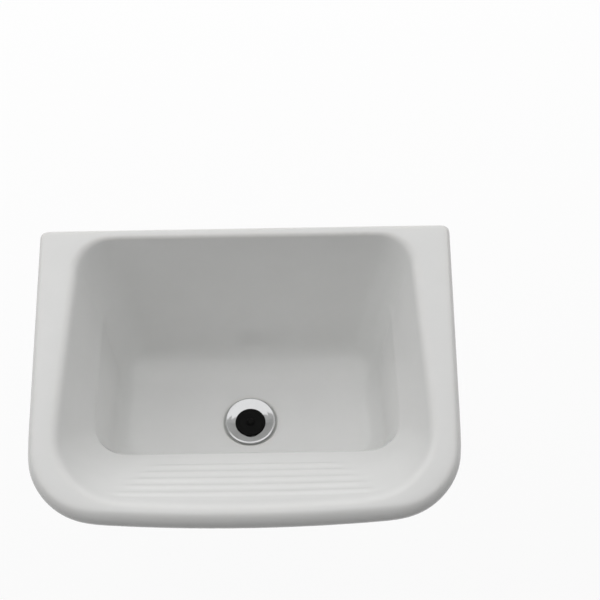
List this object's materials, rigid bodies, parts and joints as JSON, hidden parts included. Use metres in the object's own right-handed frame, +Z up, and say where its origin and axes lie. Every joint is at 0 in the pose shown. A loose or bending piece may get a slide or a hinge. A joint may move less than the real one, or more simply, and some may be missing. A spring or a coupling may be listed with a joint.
{
  "type": "utility laundry sink",
  "caption": "Wall-hung glazed ceramic laundry sink with a ribbed washboard, a chrome waste and a black rubber plug.",
  "frame": {"origin": "middle of the flat band at the back that stands against the wall, 10 mm below the rim's top", "axes": "+X along the rim, +Y into the wall, +Z up; the bowl stands out of the wall towards -Y"},
  "size_m": [0.5078, 0.392, 0.2894],
  "materials": {
    "glaze": "glossy",
    "chrome": "polished",
    "seal_rubber": "matt",
    "washer_plastic": "matt",
    "nut_brass": "machined",
    "plug_rubber": "satin"
  },
  "bodies": {
    "sink": {"sink_body": "glaze", "upper_seal": "seal_rubber", "waste_flange": "chrome", "lower_seal": "seal_rubber", "friction_washer": "washer_plastic", "backnut": "nut_brass"},
    "plug": {"plug": "plug_rubber"}
  },
  "joints": [
    {"name": "plug_lift", "type": "slide", "parent": "sink", "child": "plug", "axis": [0, 0, 1], "range_m": [0, 0.06]}
  ]
}
